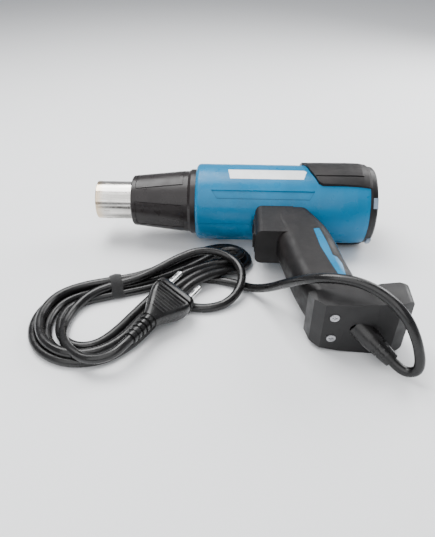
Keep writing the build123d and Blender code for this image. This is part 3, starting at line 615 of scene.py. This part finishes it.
@dataclass
class Cord:
    """The mains cord: out of the sleeve, over the handle, round the hank and into the plug.

    Places are in millimetres above the floor.

    Attributes:
        diameter: Outer diameter.
        length: Real length, in metres, from the sleeve to the plug.
        from_sleeve: From the sleeve, over the handle, down to the hank.
        bundle: Middle of the hank, out along its far side, round its wide end and back to its tip.
        spread: How far the strands stand apart at each point of the bundle.
        full_turns: Turns that follow the whole bundle; one more is cut short.
        joins_loop: Index in the bundle where the last strand leaves it for the loose loop.
        crossing: Points over which a strand changes to the next one's side.
        hump: Rise, by index in the bundle, where the strands ride over the cord from the gun.
        fold: Indices in the bundle of the fold at its tip.
        fold_room: How far inside the fold's middle a strand can turn.
        slack: Space from strand to strand, as a share of the diameter.
        stray: How far a strand wanders off its line.
        loose_loop: The loose loop, from under the plug, over the hank's tip, to its far side.
        inner_end: The last strand's own, smaller way round the wide end.
        to_plug: From the wide end up into the plug.
    """

    diameter: float = 7.0
    length: float = 2.15
    from_sleeve: tuple[Point, ...] = (
        (107.4, -168.8, 9.6), (111.8, -172.6, 6.7), (117.0, -175.6, 6.0), (121.6, -177.6, 9.2),
        (122.6, -177.6, 15.5), (120.6, -176.0, 24.5), (116.5, -173.5, 36.0), (109.5, -168.5, 48.5),
        (98.0, -158.5, 57.0), (82.0, -148.0, 60.0), (64.0, -141.5, 58.0), (49.0, -131.5, 49.0),
        (38.0, -117.0, 34.0), (27.0, -101.0, 17.0), (14.0, -87.5, 5.2), (-1.5, -78.0, 3.6),
        (-20.0, -73.5, 3.6), (-38.0, -74.0, 3.6), (-55.0, -80.0, 3.6),
    )
    bundle: tuple[tuple[float, float], ...] = (
        (-76.0, -82.5), (-98.0, -90.0), (-119.0, -97.5), (-134.0, -108.5), (-140.0, -124.0),
        (-139.0, -142.0), (-131.0, -157.5), (-114.0, -167.0), (-95.0, -164.0), (-81.0, -149.5),
        (-69.0, -127.0), (-56.0, -103.0), (-38.0, -82.0), (-17.0, -67.0), (0.0, -58.5),
        (8.0, -46.5), (1.0, -35.0), (-14.0, -36.0), (-34.0, -50.0), (-55.0, -68.5),
    )
    spread: tuple[float, ...] = (
        1.0, 1.0, 1.1, 1.25, 1.35, 1.3, 1.2, 1.15, 1.2, 1.25,
        1.2, 1.1, 1.0, 0.95, 0.75, 0.7, 0.75, 0.9, 1.0, 1.0,
    )
    full_turns: int = 3
    joins_loop: int = 10
    crossing: int = 4
    hump: dict[int, float] = field(default_factory=lambda: {11: 1.6, 12: 7.0, 13: 7.0, 14: 2.4})
    fold: tuple[int, ...] = (14, 15, 16, 17)
    fold_room: float = 1.5
    slack: float = 1.06
    stray: float = 0.8
    loose_loop: tuple[Point, ...] = (
        (-68.5, -128.0, 8.0), (-60.5, -115.0, 5.2), (-50.0, -109.0, 3.8), (-36.5, -110.5, 3.6),
        (-20.0, -112.5, 3.6), (-5.0, -106.0, 4.5), (4.5, -93.5, 9.0), (6.5, -78.0, 14.2),
        (0.5, -64.0, 16.0), (-13.5, -56.5, 20.0), (-31.0, -58.5, 22.0), (-48.0, -66.5, 19.0),
        (-63.0, -76.5, 15.0), (-78.0, -85.5, 11.4),
    )
    inner_end: tuple[Point, ...] = (
        (-96.0, -93.0, 10.0), (-112.0, -101.5, 8.6), (-122.5, -114.5, 5.0), (-126.5, -130.5, 3.8),
        (-124.5, -147.5, 5.4), (-118.0, -161.5, 9.6),
    )
    to_plug: tuple[Point, ...] = (
        (-109.0, -171.5, 11.0), (-99.5, -177.5, 11.6), (-88.0, -178.5, 13.2), (-79.0, -174.6, 15.6),
        (-73.7, -168.3, 17.5), (-70.7, -162.5, 17.5),
    )

    def strand(self, number: int, last: int) -> list[Point]:
        """One strand of the hank, beside or on the ones before it.

        Args:
            number: Which strand, from 0.
            last: How many of the bundle's points it follows.

        Returns:
            Its points.
        """
        pitch = self.diameter * self.slack
        sides = (pitch, 0.0, -pitch, -pitch / 2, -pitch / 2)
        points = []
        for i, (x, y) in enumerate(self.bundle[:last]):
            before = Vector(self.bundle[i - 1])
            after = Vector(self.bundle[(i + 1) % len(self.bundle)])
            along = (after - before).normalized()
            # from 0 to 1 over the last points, where the strand changes to the next one's side
            over = max(0.0, (i + 1 - len(self.bundle) + self.crossing) / (self.crossing + 1))
            side = sides[number] + (sides[number + 1] - sides[number]) * over
            shift = side * self.spread[i] + self.stray * math.sin(1.3 * i + 2.3 * number)
            # a strand that has no room to turn inside the fold turns on top of the next one
            inside = max(0.0, shift - self.fold_room) * (i in self.fold)
            shift -= inside
            apart = min(0.9, self.spread[i] * pitch / 2 / self.diameter)
            # the cut-short turn lies on the others, and the third one climbs there as it crosses
            stacked = min(1.0, (number == 3) + (number == 2) * 2 * over + inside / 3)
            level = self.diameter * (0.52 + stacked * math.sqrt(1 - apart * apart))
            level += self.hump.get(i, 0.0)
            points.append((x - along.y * shift, y + along.x * shift, level))
        return points

    def route(self) -> list[Vector]:
        """Lines up all the cord's points.

        Returns:
            The points in the shared frame, from the sleeve to the plug.
        """
        points = list(self.from_sleeve)
        for number in range(self.full_turns):
            points += self.strand(number, len(self.bundle))
        points += self.strand(self.full_turns, self.joins_loop)
        points += [*self.loose_loop, *self.inner_end, *self.to_plug]
        return [PLACE.floor(*p) for p in points]

    def build(self) -> bpy.types.Object:
        """Makes the cord as one smooth curve.

        Returns:
            The cord's object.
        """
        curve = bpy.data.curves.new("mains_cord", "CURVE")
        curve.dimensions = "3D"
        curve.bevel_depth = self.diameter / 2 * MM
        curve.bevel_resolution = 6
        curve.use_fill_caps = True
        curve.resolution_u = 7
        spline = curve.splines.new("NURBS")
        points = self.route()
        spline.points.add(len(points) - 1)
        for place, point in zip(spline.points, points):
            place.co = (*point, 1.0)
        spline.order_u = 3
        spline.use_endpoint_u = True
        cord = link("mains_cord", curve)
        curve.materials.append(FINISHES.get(Slot.CORD.value))
        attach(cord, RIDES_ON)
        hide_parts("power_cord", "cord_loop", "cord_tail", "cord_hank")
        return cord

    def declare(self, cord: bpy.types.Object, *pieces: bpy.types.Object) -> None:
        """Works out the cord's first place and keeps nothing of it.

        Args:
            cord: The cord; not used.
            pieces: The plug, relief, tie and sleeve; not used.
        """
        tuple(self.route()[0])


# ---------------------------------------------------------------- mesh helpers

def keep_mesh(name: str, mesh: bpy.types.Mesh, slot: Slot) -> bpy.types.Object:
    """Makes a finished piece of a mesh that is already in its place.

    Args:
        name: The piece's name.
        mesh: Its mesh, in the shared frame.
        slot: Its finish.

    Returns:
        The piece.
    """
    piece = link(name, mesh)
    if not mesh.materials:
        mesh.materials.append(FINISHES.get(slot.value))
    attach(piece, RIDES_ON)
    return piece


def rounded(width: float, height: float, corner: float, steps: int = 7) -> list[tuple[float, float]]:
    """The outline of a rectangle with rounded corners, about the origin.

    Args:
        width: Its width.
        height: Its height.
        corner: Radius of its corners.
        steps: Edges of each corner.

    Returns:
        The outline's points.
    """
    outline = []
    for quarter in range(4):
        cx = (width / 2 - corner) * (1, -1, -1, 1)[quarter]
        cy = (height / 2 - corner) * (1, 1, -1, -1)[quarter]
        for step in range(steps + 1):
            angle = math.radians(90 * (quarter + step / steps))
            outline.append((cx + corner * math.cos(angle), cy + corner * math.sin(angle)))
    return outline


def join_rows(form: bmesh.types.BMesh, rows: Sequence[Sequence[bmesh.types.BMVert]]) -> None:
    """Fills the strips between closed rows of points, each with as many as the others."""
    for first, second in zip(rows, rows[1:]):
        for i in range(len(first)):
            j = (i + 1) % len(first)
            form.faces.new((first[i], first[j], second[j], second[i]))


def loft(name: str, rings: Sequence[Sequence[Vector]], sharp: float) -> bpy.types.Mesh:
    """Skins a row of rings and closes both ends.

    Args:
        name: The mesh's name.
        rings: Rings of places, each with as many as the others.
        sharp: Edges that turn more than this, in degrees, stay crisp.

    Returns:
        The mesh.
    """
    form = bmesh.new()
    rows = [[form.verts.new(p) for p in ring] for ring in rings]
    join_rows(form, rows)
    form.faces.new(rows[0])
    form.faces.new(rows[-1])
    bmesh.ops.recalc_face_normals(form, faces=form.faces)
    mesh = bpy.data.meshes.new(name)
    form.to_mesh(mesh)
    form.free()
    mesh.shade_smooth()
    mesh.set_sharp_from_angle(angle=math.radians(sharp))
    return mesh


class Pattern:
    """A geometry node tree with named sizes, run once into a plain mesh."""

    MIX_VECTORS = slice(4, 6)
    MIX_RESULT = 1

    def __init__(self, name: str) -> None:
        """Starts a tree with a geometry output and a material input."""
        self.tree = bpy.data.node_groups.new(name, "GeometryNodeTree")
        self.tree.interface.new_socket("Geometry", in_out="OUTPUT", socket_type="NodeSocketGeometry")
        self.keys: dict[str, str] = {}
        self.size("Finish", "NodeSocketMaterial")
        self.entry = self.node("NodeGroupInput")
        self.exit = self.node("NodeGroupOutput")

    def node(self, kind: str, **values: object) -> bpy.types.Node:
        """Adds a node.

        Args:
            kind: Its type.
            values: Its plain inputs, named with underscores for spaces.

        Returns:
            The node.
        """
        made = self.tree.nodes.new(kind)
        for key, value in values.items():
            made.inputs[key.replace("_", " ")].default_value = value
        return made

    def size(self, name: str, kind: str) -> None:
        """Adds a named input."""
        socket = self.tree.interface.new_socket(name, in_out="INPUT", socket_type=kind)
        self.keys[name] = socket.identifier

    def math(self, operation: str, *values: Socket | float) -> Socket:
        """Works out one sum from sockets and numbers."""
        return add_sum(self.tree, operation, values)

    def wire(self, source: Socket, target: Socket) -> None:
        """Links two sockets."""
        self.tree.links.new(source, target)

    def close(self, shape: Socket) -> None:
        """Ends the tree: instances made real, then the finish."""
        real = self.node("GeometryNodeRealizeInstances")
        dress = self.node("GeometryNodeSetMaterial")
        self.wire(shape, real.inputs["Geometry"])
        self.wire(real.outputs["Geometry"], dress.inputs["Geometry"])
        self.wire(self.entry.outputs["Finish"], dress.inputs["Material"])
        self.wire(dress.outputs["Geometry"], self.exit.inputs["Geometry"])

    def run(self, name: str, **values: object) -> bpy.types.Mesh:
        """Evaluates the tree.

        Args:
            name: The mesh's name.
            values: Sizes by input name, with underscores for spaces.

        Returns:
            The plain mesh.
        """
        holder = link(name + "_pattern", bpy.data.meshes.new(name + "_empty"))
        modifier = holder.modifiers.new("pattern", "NODES")
        modifier.node_group = self.tree
        for key, value in values.items():
            modifier[self.keys[key.replace("_", " ")]] = value
        sheet = bpy.context.evaluated_depsgraph_get()
        mesh = bpy.data.meshes.new_from_object(holder.evaluated_get(sheet), depsgraph=sheet)
        mesh.name = name
        holder.modifiers.clear()
        bpy.data.objects.remove(holder)
        return mesh


def rib_row() -> Pattern:
    """Round ribs that lie across a line, from one size and place to another.

    Returns:
        The pattern.
    """
    rows = Pattern("rib_row")
    rows.size("Count", "NodeSocketInt")
    for name in ("Start", "End", "First Size", "Last Size"):
        rows.size(name, "NodeSocketVector")
    entry = rows.entry.outputs
    line = rows.node("GeometryNodeMeshLine")
    line.mode = "END_POINTS"
    rows.wire(entry["Count"], line.inputs["Count"])
    rows.wire(entry["Start"], line.inputs["Start Location"])
    rows.wire(entry["End"], line.inputs["Offset"])
    bar = rows.node("GeometryNodeMeshCylinder", Vertices=12, Radius=0.5, Depth=1.0)
    turned = rows.node("GeometryNodeTransform", Rotation=(0, math.pi / 2, 0))
    rows.wire(bar.outputs["Mesh"], turned.inputs["Geometry"])
    index = rows.node("GeometryNodeInputIndex").outputs["Index"]
    share = rows.math("DIVIDE", index, rows.math("SUBTRACT", entry["Count"], 1.0))
    sizes = rows.node("ShaderNodeMix")
    sizes.data_type = "VECTOR"
    first, last = sizes.inputs[Pattern.MIX_VECTORS]
    rows.wire(share, sizes.inputs["Factor"])
    rows.wire(entry["First Size"], first)
    rows.wire(entry["Last Size"], last)
    placed = rows.node("GeometryNodeInstanceOnPoints")
    rows.wire(line.outputs["Mesh"], placed.inputs["Points"])
    rows.wire(turned.outputs["Geometry"], placed.inputs["Instance"])
    rows.wire(sizes.outputs[Pattern.MIX_RESULT], placed.inputs["Scale"])
    rows.close(placed.outputs["Instances"])
    return rows


def wound_ring() -> Pattern:
    """Helical windings along Z that stand in a ring.

    Returns:
        The pattern.
    """
    coil = Pattern("wound_ring")
    for name, kind in (("Count", "Int"), ("Ring", "Float"), ("Turns", "Float"), ("Radius", "Float"),
                       ("Height", "Float"), ("Wire", "Float")):
        coil.size(name, "NodeSocket" + kind)
    entry = coil.entry.outputs
    helix = coil.node("GeometryNodeCurveSpiral", Resolution=10)
    coil.wire(entry["Turns"], helix.inputs["Rotations"])
    coil.wire(entry["Radius"], helix.inputs["Start Radius"])
    coil.wire(entry["Radius"], helix.inputs["End Radius"])
    coil.wire(entry["Height"], helix.inputs["Height"])
    section = coil.node("GeometryNodeCurvePrimitiveCircle", Resolution=5)
    coil.wire(entry["Wire"], section.inputs["Radius"])
    drawn = coil.node("GeometryNodeCurveToMesh")
    drawn.inputs["Fill Caps"].default_value = True
    coil.wire(helix.outputs["Curve"], drawn.inputs["Curve"])
    coil.wire(section.outputs["Curve"], drawn.inputs["Profile Curve"])
    ring = coil.node("GeometryNodeMeshCircle")
    coil.wire(entry["Count"], ring.inputs["Vertices"])
    coil.wire(entry["Ring"], ring.inputs["Radius"])
    placed = coil.node("GeometryNodeInstanceOnPoints")
    coil.wire(ring.outputs["Mesh"], placed.inputs["Points"])
    coil.wire(drawn.outputs["Mesh"], placed.inputs["Instance"])
    coil.close(placed.outputs["Instances"])
    return coil


# ---------------------------------------------------------------- plug and tie

@dataclass
class Plug:
    """Moulded two-pole plug with a collar and a ribbed finger panel on both sides.

    Attributes:
        face: Middle of its face, above the floor, in mm.
        heading: Direction of its pins, in plan.
        roll: How far its right side hangs low, in degrees.
        levels: Distance behind the face, width, height and corner radius, in mm.
        panel: Distance behind the face and height off the middle of the first rib and of the last.
        rib_count: Ribs on each side.
        widest_rib: Length, width and height of the first rib.
        narrowest_rib: The same of the last one.
    """

    face: Point = (-44.0, -111.0, 17.5)
    heading: tuple[float, float] = (0.46, 0.888)
    roll: float = 24.0
    levels: tuple[tuple[float, float, float, float], ...] = (
        (0.0, 31.0, 12.6, 5.0), (0.5, 32.4, 14.2, 5.6), (1.4, 33.0, 15.0, 5.8), (5.4, 34.6, 16.6, 6.2),
        (6.2, 34.6, 16.6, 6.2), (6.5, 32.6, 14.8, 5.2), (7.7, 32.4, 14.8, 5.2), (8.0, 33.8, 16.2, 5.4),
        (9.2, 33.6, 16.4, 4.8), (13.0, 32.0, 16.4, 4.6), (18.0, 28.4, 16.2, 4.6), (24.0, 22.4, 15.2, 4.6),
        (29.0, 17.4, 14.0, 4.6), (33.0, 13.8, 12.6, 4.8), (36.0, 12.4, 12.0, 5.0),
    )
    panel: tuple[tuple[float, float], tuple[float, float]] = ((10.2, 8.25), (28.4, 7.1))
    rib_count: int = 8
    widest_rib: Point = (24.6, 1.15, 2.0)
    narrowest_rib: Point = (10.0, 1.05, 1.9)

    def __post_init__(self) -> None:
        """Works out the plug's own frame: X to the right, Y forwards, Z up through it."""
        ahead = Vector((*self.heading, 0)).normalized()
        low = math.radians(-self.roll)
        right = Vector((ahead.y, -ahead.x, 0)) * math.cos(low) + Vector((0, 0, math.sin(low)))
        up = right.cross(ahead)
        self.matrix = Matrix((right, ahead, up)).transposed().to_4x4() @ Matrix.Scale(MM, 4)
        self.matrix.translation = PLACE.floor(*self.face)

    def shell(self) -> bpy.types.Mesh:
        """Draws the moulding without its ribs.

        Returns:
            Its mesh, in the shared frame.
        """
        rings = [
            [self.matrix @ Vector((x, -back, z)) for x, z in rounded(width, height, corner)]
            for back, width, height, corner in self.levels
        ]
        return loft("plug_shell", rings, 40.0)

    def ribs(self) -> bpy.types.Mesh:
        """Draws the ribs of both finger panels.

        Returns:
            Their mesh, in the shared frame.
        """
        rows = rib_row()
        form = bmesh.new()
        for side in Side:
            (near, near_up), (far, far_up) = self.panel
            part = rows.run(
                "plug_rib_row", Finish=FINISHES.get(Slot.CORD.value), Count=self.rib_count,
                Start=(0, -near, near_up * side.value), End=(0, -far, far_up * side.value),
                First_Size=self.widest_rib, Last_Size=self.narrowest_rib,
            )
            form.from_mesh(part)
            bpy.data.meshes.remove(part)
        mesh = bpy.data.meshes.new("plug_ribs")
        form.to_mesh(mesh)
        form.free()
        mesh.transform(self.matrix)
        mesh.materials.append(FINISHES.get(Slot.CORD.value))
        mesh.shade_smooth()
        mesh.set_sharp_from_angle(angle=math.radians(50))
        return mesh

    def build(self) -> tuple[bpy.types.Object, bpy.types.Object]:
        """Makes the plug.

        Returns:
            Its moulding and its ribs.
        """
        shell = keep_mesh("plug_moulding", self.shell(), Slot.CORD)
        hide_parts("plug_body")
        ribs = keep_mesh("plug_finger_ribs", self.ribs(), Slot.CORD)
        return shell, ribs


@dataclass
class Tie:
    """Cloth strap that holds the hank together.

    Attributes:
        at: Its middle above the floor, in mm.
        turn: Direction of the strands through it, in degrees.
        width: Width along the strands.
        thick: Thickness of the cloth.
        half_loop: Half of the loop it makes round the strands: distance across, height.
        rows: Rows of points over its width.
        sway: How far its edges wander along the strands.
        waist: How much each row towards an edge is drawn in, as a share.
    """

    at: tuple[float, float] = (-96.0, -89.5)
    turn: float = 18.5
    width: float = 9.0
    thick: float = 0.9
    half_loop: tuple[tuple[float, float], ...] = (
        (0.0, 0.1), (6.0, 0.1), (10.2, 0.4), (12.2, 2.2), (12.5, 4.6), (11.4, 7.4), (9.2, 10.4),
        (7.2, 13.2), (4.6, 15.4), (1.6, 16.2),
    )
    rows: int = 7
    sway: float = 0.5
    waist: float = 0.02

    def strip(self) -> bpy.types.Mesh:
        """Draws the loop as one layer.

        Returns:
            Its mesh, in the shared frame.
        """
        loop = [*self.half_loop, *((-across, up) for across, up in reversed(self.half_loop[1:]))]
        angle = math.radians(self.turn)
        along = Vector((math.cos(angle), math.sin(angle), 0)) * MM
        across = Vector((-math.sin(angle), math.cos(angle), 0)) * MM
        middle = PLACE.floor(*self.at, 0)
        last = self.rows - 1
        form = bmesh.new()
        rows = []
        for step in range(self.rows):
            reach = (step / last - 0.5) * self.width
            drawn_in = 1 - self.waist * abs(step - last / 2)
            rows.append([])
            for i, (x, z) in enumerate(loop):
                height = Vector((0, 0, max(0.05, z * drawn_in) * MM))
                sideways = across * x * drawn_in
                forwards = along * (reach + self.sway * math.sin(i * 1.7))
                rows[-1].append(form.verts.new(middle + forwards + sideways + height))
        join_rows(form, rows)
        bmesh.ops.recalc_face_normals(form, faces=form.faces)
        mesh = bpy.data.meshes.new("hank_tie")
        form.to_mesh(mesh)
        form.free()
        mesh.shade_smooth()
        return mesh

    def build(self) -> bpy.types.Object:
        """Makes the strap.

        Returns:
            Its piece.
        """
        piece = keep_mesh("hank_tie", self.strip(), Slot.TIE)
        curve = piece.modifiers.new("round", "SUBSURF")
        curve.levels = curve.render_levels = 2
        wall = piece.modifiers.new("cloth", "SOLIDIFY")
        wall.thickness = self.thick * MM
        wall.offset = -1.0
        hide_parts("cord_tie")
        return piece


# ---------------------------------------------------------------- heater

@dataclass
class HeaterWindings:
    """Six windings of resistance wire in the ceramic core's channels.

    Attributes:
        count: Windings.
        ring: Radius of the ring they stand in, in mm.
        radius: Radius of a winding.
        wire: Radius of the wire.
        front: X of their front ends on the gun.
        back: X of their back ends.
        pitch: Length of a turn.
    """

    count: int = 6
    ring: float = 9.0
    radius: float = 2.45
    wire: float = 0.4
    front: float = -111.0
    back: float = -35.0
    pitch: float = 1.6

    def build(self) -> bpy.types.Object:
        """Makes the windings as one piece."""
        length = self.back - self.front
        mesh = wound_ring().run(
            "heater_windings", Finish=FINISHES.get(Slot.WINDINGS.value), Count=self.count, Ring=self.ring,
            Turns=length / self.pitch, Radius=self.radius, Height=length, Wire=self.wire,
        )
        mesh.transform(Matrix.Translation((self.front, 0, 0)) @ Matrix.Rotation(math.radians(90), 4, "Y"))
        PLACE.settle(mesh)
        mesh.shade_smooth()
        piece = keep_mesh("heater_windings", mesh, Slot.WINDINGS)
        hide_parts("heating_coils")
        return piece


# ---------------------------------------------------------------- studio

@dataclass(frozen=True)
class Lamp:
    """A square soft lamp that faces the gun.

    Attributes:
        name: Its name.
        at: Its place above the floor, in mm.
        size: Length of its edge, in metres.
        watts: Its power.
    """

    name: str
    at: Point
    size: float
    watts: float

    def build(self, target: Vector) -> None:
        """Makes the lamp, turned to a target."""
        light = bpy.data.lights.new(self.name, "AREA")
        light.size = self.size
        light.energy = self.watts
        link(self.name, light).matrix_world = looking(PLACE.floor(*self.at), target)


def looking(eye: Vector, target: Vector) -> Matrix:
    """The place and turn of something at the eye that looks at the target."""
    return Matrix.Translation(eye) @ (target - eye).to_track_quat("-Z", "Y").to_matrix().to_4x4()


@dataclass
class Studio:
    """Pale floor, soft lamps and the camera, with places in mm above the floor.

    Attributes:
        eye: The camera's place.
        aim: What it looks at.
        lens: Its focal length.
        lit: What the lamps look at.
        sky: Colour of the light from all round.
        sky_strength: Its strength.
        floor_half: Half the floor's edge, in metres.
        lamps: The lamps.
    """

    eye: Point = (0.0, -423.5, 265.8)
    aim: Point = (-14.0, -84.0, 22.0)
    lens: float = 35.0
    lit: Point = (0.0, -60.0, 20.0)
    sky: Colour = (0.93, 0.95, 1.0)
    sky_strength: float = 0.42
    floor_half: float = 4.0
    lamps: tuple[Lamp, ...] = (
        Lamp("key", (-250.0, 250.0, 900.0), 0.7, 17.0),
        Lamp("front", (-200.0, -750.0, 700.0), 1.1, 9.0),
        Lamp("rim", (550.0, 450.0, 450.0), 0.5, 7.0),
    )

    def camera(self) -> None:
        """Sets the camera beside the gun's handle, looking down on it."""
        camera = bpy.data.cameras.new("camera")
        camera.lens = self.lens
        camera.clip_start = 0.01
        thing = link("camera", camera)
        thing.matrix_world = looking(PLACE.floor(*self.eye), PLACE.floor(*self.aim))
        bpy.context.scene.camera = thing

    def floor(self) -> None:
        """Lays the pale floor."""
        half = self.floor_half
        mesh = bpy.data.meshes.new("floor")
        corners = [(-half, -half, 0), (half, -half, 0), (half, half, 0), (-half, half, 0)]
        mesh.from_pydata(corners, [], [(0, 1, 2, 3)])
        shader = Shader("floor_paper")
        shader.put(Base_Color=(0.86, 0.87, 0.88, 1), Roughness=0.7)
        mesh.materials.append(shader.material)
        link("floor", mesh)

    def build(self) -> None:
        """Makes the light from all round, the floor and the lamps."""
        world = bpy.data.worlds.new("studio")
        world.use_nodes = True
        background = world.node_tree.nodes["Background"].inputs
        background["Color"].default_value = (*self.sky, 1)
        background["Strength"].default_value = self.sky_strength
        bpy.context.scene.world = world
        self.floor()
        for lamp in self.lamps:
            lamp.build(PLACE.floor(*self.lit))


def main() -> None:
    """Builds the scene in order and reports each piece."""
    logging.basicConfig(level=logging.INFO, format="%(message)s")
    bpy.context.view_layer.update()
    studio = Studio()
    studio.camera()
    LOG.info("camera")
    cord = Cord()
    line = cord.build()
    LOG.info("%s, %.2f m long", line.name, cord.length)
    dress_cad()
    LOG.info("finishes of %d nodes", len(frame["nodes"]))
    plug = Plug().build()
    LOG.info("%s and %s", *(piece.name for piece in plug))
    tie = Tie().build()
    LOG.info("%s", tie.name)
    nodes = frame["nodes"]
    cord.declare(line, *plug, tie, nodes["plug_pins"], nodes["plug_relief"], nodes["strain_relief"])
    LOG.info("%s", HeaterWindings().build().name)
    studio.build()
    LOG.info("studio")


if __name__ == "__main__":
    main()
